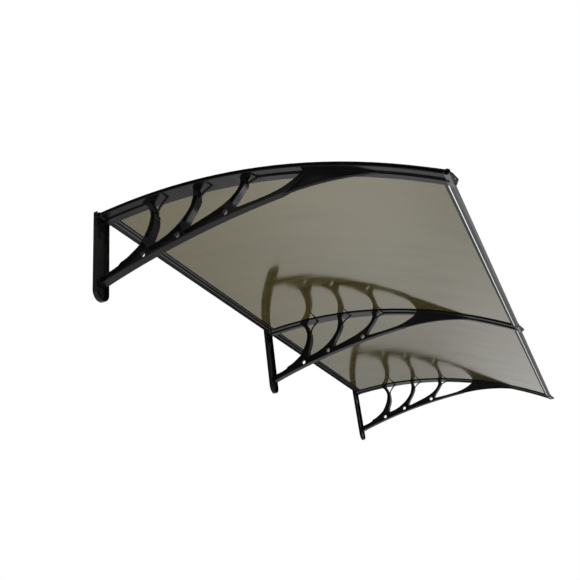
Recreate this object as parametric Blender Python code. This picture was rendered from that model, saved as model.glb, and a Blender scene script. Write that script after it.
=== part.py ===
"""Door canopy: two curved bronze polycarbonate sheets between three moulded
brackets, with an extruded aluminium rail along the wall and one along the front."""

from math import asin, atan2, cos, pi, radians, sin, sqrt

import bmesh
import bpy

# Whole canopy, metres
BRACKET_PITCH = 1.0
BRACKET_WIDTH = 0.0515
PLATE_HEIGHT = 0.262
FIT_GAP = 0.0003

# Arc that carries the sheets: its radius, and its highest point measured out from the wall
# and up from the foot of the wall plates
ARC_RADIUS = 1.524
ARC_CREST = (0.090, 0.254)
ARC_CENTRE = (ARC_CREST[0], ARC_CREST[1] - ARC_RADIUS)
ARC_WIDTH = BRACKET_WIDTH - 0.0010
ARC_LIP = 0.0029
ARC_FLANGE = 0.0035
ARC_WEB_WIDTH = 0.010
ARC_RIB_WIDTH = 0.005
ARC_STATIONS = 24
ARC_RIB_DEPTH = 0.004
SHEET_THICKNESS = 0.004
GROOVE = SHEET_THICKNESS + 2 * FIT_GAP
GROOVE_ROOF = ARC_RADIUS - ARC_LIP
GROOVE_FLOOR = GROOVE_ROOF - GROOVE
FLANGE_UNDERSIDE = GROOVE_FLOOR - ARC_FLANGE
SHEET_RADIUS = (GROOVE_ROOF + GROOVE_FLOOR) / 2

# Crossbars at both ends of the arc, which the rails butt against
CROSSBAR_RADIUS = 0.0078
CROSSBAR_STAND = 0.0006
REAR_BAR_REACH = 0.0180
FRONT_BAR_REACH = 0.9200
BAR_SINK_RADIUS = 0.0047
BAR_SINK_DEPTH = 0.014
SCREW_CLEARANCE = 0.0004

# Four teeth across the top of the arc, behind the front crossbar
TOOTH_COUNT = 4
TOOTH_PITCH = 0.0062
TOOTH_WIDTH = 0.0028
TOOTH_HEIGHT = 0.0010
FIRST_TOOTH_BACK = 0.0097

# Brace and struts under the arc. A place on them is given as a share of the ridge's reach,
# and as a share of the depth between the brace's lower edge and the arc's flange.
BRACE_WIDTH_AT_WALL = 0.026
BRACE_WIDTH_AT_RIDGE = 0.018
RIDGE_REACH = 0.620
BRACE_CREST = (0.555, 0.113)
BRACE_RADIUS_REAR = 2.12
BRACE_RADIUS_FRONT = 0.68
WEB_THICKNESS = 0.005
RIM = 0.0035
BEAD_WIDTH = 0.009
BEAD_DEPTH = 0.003
EYE_RADIUS = 0.013
EYE_HOLE_RADIUS = 0.0077
EYE_WIDTH = 0.012
EYE_SHARES = ((0.2284, 0.0948), (0.3961, 0.1210), (0.6229, 0.1473))

# Wall plate
PLATE_FLOOR = 0.004
PLATE_DEPTH = 0.0125
PLATE_RIM = 0.0032
BOLT_HOLE_RADIUS = 0.0045
BOLT_BOSS_RADIUS = 0.0095
BOLT_BOSS_DEPTH = 0.009
LOWER_BOLT = BRACKET_WIDTH / 2
UPPER_BOLT = 0.200

# Tab in front of the crossbar, which narrows to a rounded end with a slot
TAB_SLOPE = radians(37)
TAB_LENGTH = 0.0203
TAB_SIDE = 0.0035
TAB_THICKNESS = 0.0044
TAB_END_RADIUS = 0.0080
TAB_RIM = 0.0020
TAB_FLOOR = 0.0022
TAB_SLOT_AT = 0.0140
TAB_SLOT_RADIUS = 0.0030
TAB_SLOT_HALF = 0.0014

# Aluminium rails: a tube with a screw bore and two lips that hold the sheet
RAIL_RADIUS = 0.0062
RAIL_BORE = 0.0021
RAIL_SHOULDER = (0.0078, 0.0050)
LIP_THICKNESS = 0.0016
SLOT_START = 0.0040
FRONT_LIP = 0.0175
WALL_LIP = 0.0280
SHEET_END = CROSSBAR_RADIUS + 0.0006

# Screws
SCREW_RADIUS = 0.00175
HEAD_RADIUS = 0.0040
HEAD_HEIGHT = 0.0024
LONG_SCREW = 0.060
SHORT_SCREW = 0.0098
SHORT_SCREW_REACH = 0.055
SHORT_SCREW_ASIDE = 0.0135

for old in list(bpy.data.objects):
    bpy.data.objects.remove(old, do_unlink=True)


# Shared geometry

def material(name, colour, metallic, roughness, transmission=0.0, ior=1.5):
    made = bpy.data.materials.new(name)
    made.use_nodes = True
    shader = made.node_tree.nodes["Principled BSDF"]
    shader.inputs["Base Color"].default_value = (*colour, 1.0)
    shader.inputs["Metallic"].default_value = metallic
    shader.inputs["Roughness"].default_value = roughness
    shader.inputs["Transmission Weight"].default_value = transmission
    shader.inputs["IOR"].default_value = ior
    return made


def arc_height(reach, radius):
    """Height above the foot of the plates of a point on the arc, at this reach from the wall."""
    return ARC_CENTRE[1] + sqrt(radius**2 - (reach - ARC_CENTRE[0]) ** 2)


def arc_angle(reach, radius):
    return asin((reach - ARC_CENTRE[0]) / radius)


def on_arc(angle, radius):
    return (ARC_CENTRE[0] + radius * sin(angle), ARC_CENTRE[1] + radius * cos(angle))


def lower_edge(reach):
    """Height of the lower edge of the brace: two arcs that meet at its crest."""
    away = reach - BRACE_CREST[0]
    radius = BRACE_RADIUS_REAR if away < 0 else BRACE_RADIUS_FRONT
    return BRACE_CREST[1] - radius + sqrt(radius**2 - away**2)


def brace_half_width(reach):
    part = min(max(reach / RIDGE_REACH, 0.0), 1.0)
    return (BRACE_WIDTH_AT_WALL * (1 - part) + BRACE_WIDTH_AT_RIDGE * part) / 2


def spaced(start, end, count):
    return [start + (end - start) * i / (count - 1) for i in range(count)]


def smooth(points, steps=2):
    """A smooth curve through the points, both ends included."""
    padded = [points[0], *points, points[-1]]
    curve = [points[0]]
    for a, b, c, d in zip(padded, padded[1:], padded[2:], padded[3:]):
        for i in range(1, steps + 1):
            t = i / steps
            curve.append(tuple(
                0.5 * (2 * q + (r - p) * t + (2 * p - 5 * q + 4 * r - s) * t**2
                       + (3 * q - p - 3 * r + s) * t**3)
                for p, q, r, s in zip(a, b, c, d)
            ))
    return curve


def object_of(name, work):
    bmesh.ops.recalc_face_normals(work, faces=work.faces)
    mesh = bpy.data.meshes.new(name)
    work.to_mesh(mesh)
    work.free()
    made = bpy.data.objects.new(name, mesh)
    bpy.context.scene.collection.objects.link(made)
    return made


def loft(name, sections):
    """A solid through sections of equally many points, with both ends capped."""
    work = bmesh.new()
    rings = [[work.verts.new(point) for point in section] for section in sections]
    for one, other in zip(rings, rings[1:]):
        for i in range(len(one)):
            j = (i + 1) % len(one)
            work.faces.new((one[i], one[j], other[j], other[i]))
    work.faces.new(rings[0])
    work.faces.new(rings[-1])
    return object_of(name, work)


def place(x, reach, height):
    """The world point of a reach from the wall and a height above the foot of the plates."""
    return (x, -reach, height - PLATE_HEIGHT / 2)


def prism(name, outline, start, end):
    """An outline in reach and height, drawn out along X. An end may be a function of the reach."""
    sides = []
    for side in (start, end):
        at = side if callable(side) else (lambda reach, x=side: x)
        sides.append([place(at(reach), reach, height) for reach, height in outline])
    return loft(name, sides)


def round_bar(name, centre, radius, start, end, count):
    turns = [2 * pi * i / count for i in range(count)]
    outline = [(centre[0] + radius * cos(a), centre[1] + radius * sin(a)) for a in turns]
    return prism(name, outline, start, end)


def boolean(target, tools, operation):
    """Joins the tools to the target, or cuts them from it, and removes them."""
    for tool in tools:
        step = target.modifiers.new(tool.name, "BOOLEAN")
        step.operation = operation
        step.solver = "EXACT"
        step.object = tool
        tool.hide_render = True
        tool.display_type = "WIRE"
    graph = bpy.context.evaluated_depsgraph_get()
    result = bpy.data.meshes.new_from_object(target.evaluated_get(graph))
    target.modifiers.clear()
    target.data = result
    for tool in tools:
        bpy.data.objects.remove(tool, do_unlink=True)
    return target


def mirrored_prism(name, outline, inner, outer):
    return [prism(f"{name}_{side}", outline, side * inner, side * outer) for side in (-1, 1)]


# Materials

black_plastic = material("black_polypropylene", (0.012, 0.012, 0.013), 0.0, 0.38)
aluminium = material("grey_anodised_aluminium", (0.30, 0.30, 0.31), 1.0, 0.42)
bronze_sheet = material("bronze_polycarbonate", (0.24, 0.21, 0.12), 0.0, 0.06, 1.0, 1.58)
zinc_steel = material("zinc_plated_steel", (0.62, 0.60, 0.55), 1.0, 0.30)


# Bracket moulding: openings between the struts. Each top edge runs up into the arc's
# flange, which closes it.

JOIN = 0.0015


def in_truss(shares):
    """Points from shares of the ridge's reach and of the depth between brace and flange."""
    points = []
    for along, up in shares:
        reach = along * RIDGE_REACH
        low = lower_edge(reach)
        points.append((reach, low + up * (arc_height(reach, FLANGE_UNDERSIDE) - low)))
    return points


def under_arc(start, end, count):
    return [(reach, arc_height(reach, FLANGE_UNDERSIDE + JOIN))
            for reach in spaced(start * RIDGE_REACH, end * RIDGE_REACH, count)]


def edge(*shares):
    return smooth(in_truss(shares))


STRUT_1_BACK = edge((0.242, 0.988), (0.268, 0.884), (0.280, 0.749), (0.277, 0.626),
                    (0.263, 0.483), (0.240, 0.352), (0.216, 0.252))
STRUT_1_FRONT = edge((0.271, 0.160), (0.276, 0.295), (0.293, 0.425), (0.302, 0.535),
                     (0.304, 0.649), (0.307, 0.743), (0.317, 0.823), (0.337, 0.903),
                     (0.368, 1.007))
STRUT_2_BACK = edge((0.489, 0.993), (0.491, 0.894), (0.486, 0.746), (0.473, 0.590),
                    (0.450, 0.456), (0.423, 0.348), (0.392, 0.265), (0.358, 0.205),
                    (0.319, 0.168), (0.271, 0.160))
STRUT_2_FRONT = edge((0.439, 0.134), (0.445, 0.248), (0.465, 0.373), (0.487, 0.500),
                     (0.505, 0.643), (0.517, 0.770), (0.536, 0.861), (0.558, 0.931),
                     (0.585, 1.020))
STRUT_3_BACK = edge((0.707, 0.986), (0.707, 0.845), (0.695, 0.682), (0.674, 0.533),
                    (0.647, 0.412), (0.613, 0.318), (0.571, 0.245), (0.524, 0.193),
                    (0.481, 0.157), (0.439, 0.134))
STRUT_3_FRONT = edge((0.653, 0.125), (0.661, 0.248), (0.681, 0.392), (0.703, 0.551),
                     (0.721, 0.703), (0.734, 0.791), (0.755, 0.875), (0.791, 1.000))
BRACE_STEPS = (edge((0.190, 0.208), (0.158, 0.163), (0.127, 0.147))
               + edge((0.113, 0.114), (0.081, 0.1025), (0.039, 0.105)))
BRACE_FRONT = edge((0.979, 1.104), (0.939, 0.611), (0.906, 0.377), (0.868, 0.226),
                   (0.826, 0.155), (0.771, 0.1225), (0.710, 0.1175), (0.653, 0.125))

OPENINGS = [
    [(PLATE_FLOOR, in_truss([(PLATE_FLOOR / RIDGE_REACH, 0.089)])[0][1]),
     (PLATE_FLOOR, arc_height(0.0, FLANGE_UNDERSIDE + JOIN))]
    + under_arc(0.048, 0.234, 4) + STRUT_1_BACK + BRACE_STEPS,
    STRUT_2_BACK + STRUT_1_FRONT[1:] + under_arc(0.403, 0.460, 2),
    STRUT_3_BACK + STRUT_2_FRONT[1:] + under_arc(0.621, 0.677, 2),
    BRACE_FRONT + STRUT_3_FRONT[1:] + under_arc(0.831, 0.935, 3),
]

# Notches under the flange that part the top of each strut in two

FORKS = [in_truss(shares) for shares in (
    [(0.301, 0.757), (0.311, 0.842), (0.329, 0.920), (0.353, 1.008), (0.277, 0.997),
     (0.293, 0.880), (0.299, 0.800)],
    [(0.515, 0.795), (0.530, 0.882), (0.550, 0.948), (0.571, 1.013), (0.505, 1.005),
     (0.513, 0.895)],
    [(0.7325, 0.825), (0.748, 0.905), (0.780, 1.016), (0.7265, 1.005), (0.7325, 0.905)],
)]

# The front arm of each fork is only as thick as the web: its sides are cut away from just
# below the notch up to the flange
FORK_ARMS = [in_truss(shares) for shares in (
    [(0.298, 0.700), (0.325, 0.700), (0.390, 1.002), (0.330, 0.998), (0.301, 0.800)],
    [(0.508, 0.735), (0.538, 0.735), (0.610, 1.002), (0.545, 0.998), (0.515, 0.850)],
    [(0.727, 0.765), (0.755, 0.765), (0.815, 1.002), (0.755, 0.998), (0.7325, 0.870)],
)]
EYES = in_truss(EYE_SHARES)


def bracket_truss():
    """Brace, struts and ridge as one slab, with its openings and with both sides hollowed."""
    lower = [(reach, lower_edge(reach)) for reach in spaced(0.002, BRACE_CREST[0] - 0.015, 13)]
    ridge = smooth([lower[-1], *in_truss([(0.903, 0.073), (0.952, 0.412)]),
                    (RIDGE_REACH, arc_height(RIDGE_REACH, GROOVE_FLOOR - 0.001))])
    upper = [(reach, arc_height(reach, GROOVE_FLOOR - 0.001))
             for reach in spaced(RIDGE_REACH - 0.02, 0.002, 10)]
    slab = prism("slab", lower + ridge[1:] + upper,
                 lambda reach: -brace_half_width(reach), brace_half_width)
    cutters = [prism(f"opening_{i}", outline, -0.04, 0.04) for i, outline in enumerate(OPENINGS)]
    cutters += [prism(f"fork_{i}", outline, -0.041, 0.041) for i, outline in enumerate(FORKS)]
    return boolean(slab, cutters, "DIFFERENCE")


def bracket_pockets():
    """Recesses in both sides of the brace and the struts, which leave rims at their edges."""
    half = WEB_THICKNESS / 2
    strut_1 = in_truss([(0.267, 0.311), (0.285, 0.440), (0.295, 0.549), (0.2975, 0.6615),
                        (0.298, 0.737), (0.2855, 0.780), (0.286, 0.687), (0.283, 0.613),
                        (0.269, 0.469), (0.249, 0.355)])
    strut_2 = in_truss([(0.442, 0.2815), (0.460, 0.396), (0.4815, 0.523), (0.499, 0.657),
                        (0.509, 0.770), (0.493, 0.810), (0.492, 0.740), (0.478, 0.580),
                        (0.456, 0.440), (0.432, 0.345)])
    strut_3 = in_truss([(0.659, 0.302), (0.676, 0.421), (0.698, 0.574), (0.716, 0.725),
                        (0.727, 0.839), (0.714, 0.876), (0.701, 0.672), (0.678, 0.509),
                        (0.654, 0.400)])
    brace = (
        [(reach, lower_edge(reach) + RIM + 0.0005)
         for reach in spaced(0.0194 * RIDGE_REACH, 0.645 * RIDGE_REACH, 10)]
        + in_truss([(0.645, 0.089), (0.621, 0.267), (0.571, 0.215), (0.524, 0.165),
                    (0.481, 0.1305), (0.429, 0.113), (0.419, 0.295), (0.392, 0.240),
                    (0.358, 0.180), (0.319, 0.144), (0.258, 0.146), (0.2355, 0.298),
                    (0.219, 0.233), (0.190, 0.187), (0.158, 0.143), (0.124, 0.125),
                    (0.110, 0.095), (0.081, 0.083), (0.0194, 0.094)])
    )
    cutters = []
    sides = [("strut_1", strut_1), ("strut_2", strut_2), ("strut_3", strut_3), ("brace", brace)]
    sides += [(f"fork_arm_{i}", outline) for i, outline in enumerate(FORK_ARMS)]
    for name, outline in sides:
        cutters += mirrored_prism(name, outline, half, 0.05)
    return cutters


def arc_section():
    """Arc from the plate to the front bar: lip above, web between the grooves, flange below."""
    wide = ARC_WIDTH / 2
    narrow = ARC_WEB_WIDTH / 2
    half = [(wide, ARC_RADIUS), (wide, GROOVE_ROOF), (narrow, GROOVE_ROOF),
            (narrow, GROOVE_FLOOR), (wide, GROOVE_FLOOR), (wide, FLANGE_UNDERSIDE)]
    section = half + [(-x, radius) for x, radius in reversed(half)]
    first = arc_angle(0.002, SHEET_RADIUS)
    last = arc_angle(FRONT_BAR_REACH - 0.001, SHEET_RADIUS)
    rings = []
    for angle in spaced(first, last, ARC_STATIONS):
        rings.append([place(x, *on_arc(angle, radius)) for x, radius in section])
    return loft("arc", rings)


def arc_ribs():
    """Thin ribs under the flange, behind the first strut and from the last strut to the tip."""
    ribs = []
    for start, end in ((PLATE_FLOOR, 0.25 * RIDGE_REACH),
                       (0.77 * RIDGE_REACH, FRONT_BAR_REACH - 0.002)):
        reaches = spaced(start, end, 5 if start == PLATE_FLOOR else 12)
        outline = [(reach, arc_height(reach, FLANGE_UNDERSIDE - ARC_RIB_DEPTH))
                   for reach in reaches]
        outline += [(reach, arc_height(reach, FLANGE_UNDERSIDE + JOIN))
                    for reach in reversed(reaches)]
        ribs.append(prism("rib", outline, -ARC_RIB_WIDTH / 2, ARC_RIB_WIDTH / 2))
    return ribs


def arc_teeth():
    teeth = []
    for i in range(TOOTH_COUNT):
        back = FIRST_TOOTH_BACK + i * TOOTH_PITCH
        middle = arc_angle(FRONT_BAR_REACH, SHEET_RADIUS) - back / ARC_RADIUS
        turn = TOOTH_WIDTH / 2 / ARC_RADIUS
        outline = [on_arc(middle - turn, ARC_RADIUS - JOIN), on_arc(middle - turn, ARC_RADIUS),
                   on_arc(middle - turn / 3, ARC_RADIUS + TOOTH_HEIGHT),
                   on_arc(middle + turn / 3, ARC_RADIUS + TOOTH_HEIGHT),
                   on_arc(middle + turn, ARC_RADIUS), on_arc(middle + turn, ARC_RADIUS - JOIN)]
        teeth.append(prism("tooth", outline, 0.0004 - ARC_WIDTH / 2, ARC_WIDTH / 2 - 0.0004))
    return teeth


def web_tip():
    """Reach at which the lower edge runs into the arc's flange."""
    near, far = BRACE_CREST[0], FRONT_BAR_REACH
    for _ in range(40):
        middle = (near + far) / 2
        if lower_edge(middle) < arc_height(middle, FLANGE_UNDERSIDE):
            near = middle
        else:
            far = middle
    return near


def front_web():
    """Thin panel that fills the wedge between the arc and the lower edge."""
    start = BRACE_CREST[0] - 0.025
    tip = web_tip()
    lower = [(reach, lower_edge(reach)) for reach in spaced(start, tip, 11)]
    upper = [(reach, arc_height(reach, FLANGE_UNDERSIDE + JOIN))
             for reach in spaced(tip, 0.987 * RIDGE_REACH, 6)]
    half = WEB_THICKNESS / 2
    panel = prism("front_web", lower + upper + in_truss([(0.952, 0.608), (0.903, 0.218)]),
                  -half, half)
    bead = [(reach, lower_edge(reach) + 0.0002) for reach in spaced(start + 0.005, tip - 0.015, 11)]
    inner = [(reach, height + BEAD_DEPTH) for reach, height in reversed(bead)]
    return [panel, prism("bead", bead + inner, -BEAD_WIDTH / 2, BEAD_WIDTH / 2)]


def stadium(inset, top, count=12):
    """Plate outline seen from the front, in X and height: round below, square above."""
    radius = BRACKET_WIDTH / 2 - inset
    turns = [pi + pi * i / count for i in range(count + 1)]
    middle = BRACKET_WIDTH / 2
    return ([(radius * cos(a), middle + radius * sin(a)) for a in turns]
            + [(radius, top), (-radius, top)])


def wall_plate():
    """Channel-shaped plate: a floor against the wall, a rim round it and two bolt bosses."""
    def slab(name, outline, start, end):
        return loft(name, [[place(x, reach, height) for x, height in outline]
                           for reach in (start, end)])

    plate = slab("plate", stadium(0.0, PLATE_HEIGHT), 0.0, PLATE_DEPTH)
    recess = slab("recess", stadium(PLATE_RIM, PLATE_HEIGHT + 0.01), PLATE_FLOOR, PLATE_DEPTH + 0.01)
    boolean(plate, [recess], "DIFFERENCE")
    bosses = []
    for height in (LOWER_BOLT, UPPER_BOLT):
        ring = [(BOLT_BOSS_RADIUS * cos(a), height + BOLT_BOSS_RADIUS * sin(a))
                for a in (2 * pi * i / 18 for i in range(18))]
        bosses.append(slab("bolt_boss", ring, 0.002, BOLT_BOSS_DEPTH))
    return boolean(plate, bosses, "UNION")


def bolt_holes():
    holes = []
    for height in (LOWER_BOLT, UPPER_BOLT):
        ring = [(BOLT_HOLE_RADIUS * cos(a), height + BOLT_HOLE_RADIUS * sin(a))
                for a in (2 * pi * i / 16 for i in range(16))]
        holes.append(loft("bolt_hole", [[place(x, reach, level) for x, level in ring]
                                        for reach in (-0.01, 0.03)]))
    return holes


REAR_BAR = on_arc(arc_angle(REAR_BAR_REACH, SHEET_RADIUS), SHEET_RADIUS)
FRONT_BAR = on_arc(arc_angle(FRONT_BAR_REACH, SHEET_RADIUS), SHEET_RADIUS)


def tip_tab():
    """Tapered tab with a rounded end, a slot and a recess in its underside that leaves a rim."""
    along = (cos(TAB_SLOPE), -sin(TAB_SLOPE))
    across = (sin(TAB_SLOPE), cos(TAB_SLOPE))

    def slab(name, outline, start, end):
        """An outline in X and distance from the bar's middle, drawn out across the tab."""
        return loft(name, [[place(x, FRONT_BAR[0] + far * along[0] + level * across[0],
                                  FRONT_BAR[1] + far * along[1] + level * across[1])
                            for x, far in outline] for level in (start, end)])

    def outline(inset, root):
        radius = TAB_END_RADIUS - inset
        wide = BRACKET_WIDTH / 2 - 0.0006 - inset * 1.6
        middle = TAB_LENGTH - TAB_END_RADIUS
        corner = CROSSBAR_RADIUS + TAB_SIDE - inset
        turns = [radians(turn) for turn in (66, 78, 90, 102, 114)]
        return ([(wide, root), (wide, corner)]
                + [(radius * cos(a), middle + radius * sin(a)) for a in turns]
                + [(-wide, corner), (-wide, root)])

    top = TAB_THICKNESS / 2
    tab = slab("tab", outline(0.0, 0.002), -top, top)
    recess = slab("tab_recess", outline(TAB_RIM, CROSSBAR_RADIUS - 0.002), -top - 0.01,
                  top - TAB_FLOOR)
    boolean(tab, [recess], "DIFFERENCE")
    ring = []
    for side in (1, -1):
        ring += [(side * (TAB_SLOT_HALF + TAB_SLOT_RADIUS * cos(a)),
                  TAB_SLOT_AT + side * TAB_SLOT_RADIUS * sin(a))
                 for a in (radians(turn) for turn in (-90, -60, -30, 0, 30, 60, 90))]
    slot = slab("tab_slot", ring, -0.01, 0.01)
    return tab, slot


def bracket_moulding():
    moulding = bracket_truss()
    boolean(moulding, bracket_pockets(), "DIFFERENCE")
    parts = [round_bar(f"eye_{i}", eye, EYE_RADIUS, -EYE_WIDTH / 2, EYE_WIDTH / 2, 20)
             for i, eye in enumerate(EYES)]
    wide = BRACKET_WIDTH / 2
    parts += front_web()
    tab, tab_slot = tip_tab()
    parts += [arc_section(), *arc_ribs(), *arc_teeth(), wall_plate(), tab]
    # Solid corner behind the rear bar, where the arc meets the plate
    corner = [(reach, arc_height(reach, radius))
              for radius, reaches in ((FLANGE_UNDERSIDE + 0.0008, (0.002, REAR_BAR_REACH)),
                                      (ARC_RADIUS - 0.0008, (REAR_BAR_REACH, 0.002)))
              for reach in reaches]
    parts.append(prism("rear_corner", corner, -wide + 0.0013, wide - 0.0013))
    end = wide + CROSSBAR_STAND
    parts += [round_bar("front_bar", FRONT_BAR, CROSSBAR_RADIUS, -end, end, 18),
              round_bar("rear_bar", REAR_BAR, CROSSBAR_RADIUS, -end, end, 18)]
    for part in parts:
        boolean(moulding, [part], "UNION")
    holes = [round_bar(f"eye_hole_{i}", eye, EYE_HOLE_RADIUS, -0.02, 0.02, 16)
             for i, eye in enumerate(EYES)]
    holes.append(tab_slot)
    for bar in (FRONT_BAR, REAR_BAR):
        holes.append(round_bar("bore", bar, SCREW_RADIUS + SCREW_CLEARANCE, -0.04, 0.04, 12))
        for side in (-1, 1):
            holes.append(round_bar("sink", bar, BAR_SINK_RADIUS,
                                   side * (wide - BAR_SINK_DEPTH), side * 0.04, 16))
    boolean(moulding, holes + bolt_holes(), "DIFFERENCE")
    return moulding


def finish(made, name, look, x=0.0):
    """Moves the mesh to its place along X, shades it and names it."""
    for vertex in made.data.vertices:
        vertex.co.x += x
    made.name = name
    made.data.name = name
    made.data.materials.clear()
    made.data.materials.append(look)
    made.data.polygons.foreach_set("use_smooth", [True] * len(made.data.polygons))
    made.data.set_sharp_from_angle(angle=radians(32))
    return made


def copied(source, name):
    made = bpy.data.objects.new(name, source.data.copy())
    bpy.context.scene.collection.objects.link(made)
    return made


# Short screws: through the lip of the middle bracket and the edge of each sheet

def short_screw_frame(aside):
    angle = arc_angle(SHORT_SCREW_REACH, SHEET_RADIUS)
    return aside * SHORT_SCREW_ASIDE, angle


def radial_bar(name, x, angle, inner, outer, radius, count):
    """A round bar that stands on the arc at this angle, between two radii."""
    rings = []
    for level in (inner, outer):
        ring = []
        for i in range(count):
            turn = 2 * pi * i / count
            reach, height = on_arc(angle, level)
            along = radius * cos(turn)
            ring.append(place(x + radius * sin(turn), reach + along * cos(angle),
                              height - along * sin(angle)))
        rings.append(ring)
    return loft(name, rings)


# Brackets

base = bracket_moulding()
middle = copied(base, "bracket_middle")
drills = []
for side in (-1, 1):
    x, angle = short_screw_frame(side)
    drills.append(radial_bar(f"drill_{side}", x, angle, FLANGE_UNDERSIDE - 0.01, ARC_RADIUS + 0.01,
                             SCREW_RADIUS + SCREW_CLEARANCE, 12))
boolean(middle, drills, "DIFFERENCE")
right = copied(base, "bracket_right")
finish(base, "bracket_left", black_plastic, -BRACKET_PITCH)
finish(middle, "bracket_middle", black_plastic)
finish(right, "bracket_right", black_plastic, BRACKET_PITCH)


# Sheets: each slides into the grooves of its two brackets and the slots of its two rails

def sheet(name, side):
    inner = side * (ARC_WEB_WIDTH / 2 + 0.0005)
    outer = side * (BRACKET_PITCH - ARC_WEB_WIDTH / 2 - 0.0005)
    first = arc_angle(REAR_BAR_REACH, SHEET_RADIUS) + SHEET_END / SHEET_RADIUS
    last = arc_angle(FRONT_BAR_REACH, SHEET_RADIUS) - SHEET_END / SHEET_RADIUS
    low = SHEET_RADIUS - SHEET_THICKNESS / 2
    high = SHEET_RADIUS + SHEET_THICKNESS / 2
    rings = []
    for angle in spaced(first, last, ARC_STATIONS):
        rings.append([place(x, *on_arc(angle, radius))
                      for x, radius in ((inner, low), (outer, low), (outer, high), (inner, high))])
    made = loft(name, rings)
    x, angle = short_screw_frame(side)
    drill = radial_bar("sheet_drill", x, angle, low - 0.01, high + 0.01,
                       SCREW_RADIUS + 2 * SCREW_CLEARANCE, 12)
    boolean(made, [drill], "DIFFERENCE")
    return finish(made, name, bronze_sheet)


sheet("sheet_left", -1)
sheet("sheet_right", 1)


# Rails

def rail_outline(lip):
    """Half of the rail's section above the sheet's plane, from the slot round to the far side."""
    slot = GROOVE / 2
    outer = slot + LIP_THICKNESS
    start = atan2(RAIL_SHOULDER[1], sqrt(RAIL_RADIUS**2 - RAIL_SHOULDER[1] ** 2))
    half = [(SLOT_START, slot), (lip - 0.0006, slot), (lip, slot + 0.0005), (lip, outer - 0.0005),
            (lip - 0.0005, outer), (RAIL_SHOULDER[0] + 0.0009, outer),
            (RAIL_SHOULDER[0], RAIL_SHOULDER[1])]
    half += [(RAIL_RADIUS * cos(a), RAIL_RADIUS * sin(a)) for a in spaced(start, pi, 9)]
    return half + [(along, -across) for along, across in reversed(half[:-1])]


def rail(name, bar_reach, lip, direction, side):
    """One length of rail between two brackets, its slot facing the sheet."""
    angle = arc_angle(bar_reach, SHEET_RADIUS)
    centre = on_arc(angle, SHEET_RADIUS)
    # Along the chord of the curved sheet inside the slot
    angle += direction * lip / 2 / SHEET_RADIUS
    tangent = (direction * cos(angle), -direction * sin(angle))
    normal = (sin(angle), cos(angle))

    def laid(points):
        return [(centre[0] + along * tangent[0] + across * normal[0],
                 centre[1] + along * tangent[1] + across * normal[1]) for along, across in points]

    near = side * (BRACKET_WIDTH / 2 + CROSSBAR_STAND + FIT_GAP)
    far = side * (BRACKET_PITCH - BRACKET_WIDTH / 2 - CROSSBAR_STAND - FIT_GAP)
    made = prism(name, laid(rail_outline(lip)), near, far)
    bore = [(RAIL_BORE * cos(2 * pi * i / 16), RAIL_BORE * sin(2 * pi * i / 16)) for i in range(16)]
    boolean(made, [prism("rail_bore", laid(bore), near - side * 0.01, far + side * 0.01)], "DIFFERENCE")
    return finish(made, name, aluminium)


for where, side in (("left", -1), ("right", 1)):
    rail(f"front_rail_{where}", FRONT_BAR_REACH, FRONT_LIP, -1, side)
    rail(f"wall_rail_{where}", REAR_BAR_REACH, WALL_LIP, 1, side)


# Screws

def screw_sections(length, start):
    """Radii and distances along a pan-head screw, from the middle of the head to the point."""
    return [(0.0013, start - HEAD_HEIGHT), (0.0030, start - 0.85 * HEAD_HEIGHT),
            (HEAD_RADIUS, start - 0.45 * HEAD_HEIGHT), (HEAD_RADIUS, start),
            (SCREW_RADIUS, start), (SCREW_RADIUS, start + length - 0.003),
            (0.0004, start + length)]


def long_screw(name, bar, side):
    """Lies in the sink of an end bracket's crossbar and runs on into the bore of the rail."""
    seat = BRACKET_PITCH + BRACKET_WIDTH / 2 - BAR_SINK_DEPTH + FIT_GAP
    rings = []
    for radius, along in screw_sections(LONG_SCREW, 0.0):
        x = side * (seat - along)
        rings.append([place(x, bar[0] + radius * cos(2 * pi * i / 12),
                            bar[1] + radius * sin(2 * pi * i / 12)) for i in range(12)])
    return finish(loft(name, rings), name, zinc_steel)


for where, side in (("left", -1), ("right", 1)):
    long_screw(f"front_screw_{where}", FRONT_BAR, side)
    long_screw(f"wall_screw_{where}", REAR_BAR, side)


def short_screw(name, side):
    x, angle = short_screw_frame(side)
    seat = ARC_RADIUS + FIT_GAP
    rings = []
    for radius, along in screw_sections(SHORT_SCREW, 0.0):
        reach, height = on_arc(angle, seat - along)
        ring = []
        for i in range(12):
            turn = 2 * pi * i / 12
            across = radius * cos(turn)
            ring.append(place(x + radius * sin(turn), reach + across * cos(angle),
                              height - across * sin(angle)))
        rings.append(ring)
    return finish(loft(name, rings), name, zinc_steel)


for where, side in (("left", -1), ("right", 1)):
    short_screw(f"sheet_screw_{where}", side)
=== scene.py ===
from math import atan2, cos, pi, radians, sin, sqrt, tau

import bmesh
import bpy
from mathutils import Matrix, Vector


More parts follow.
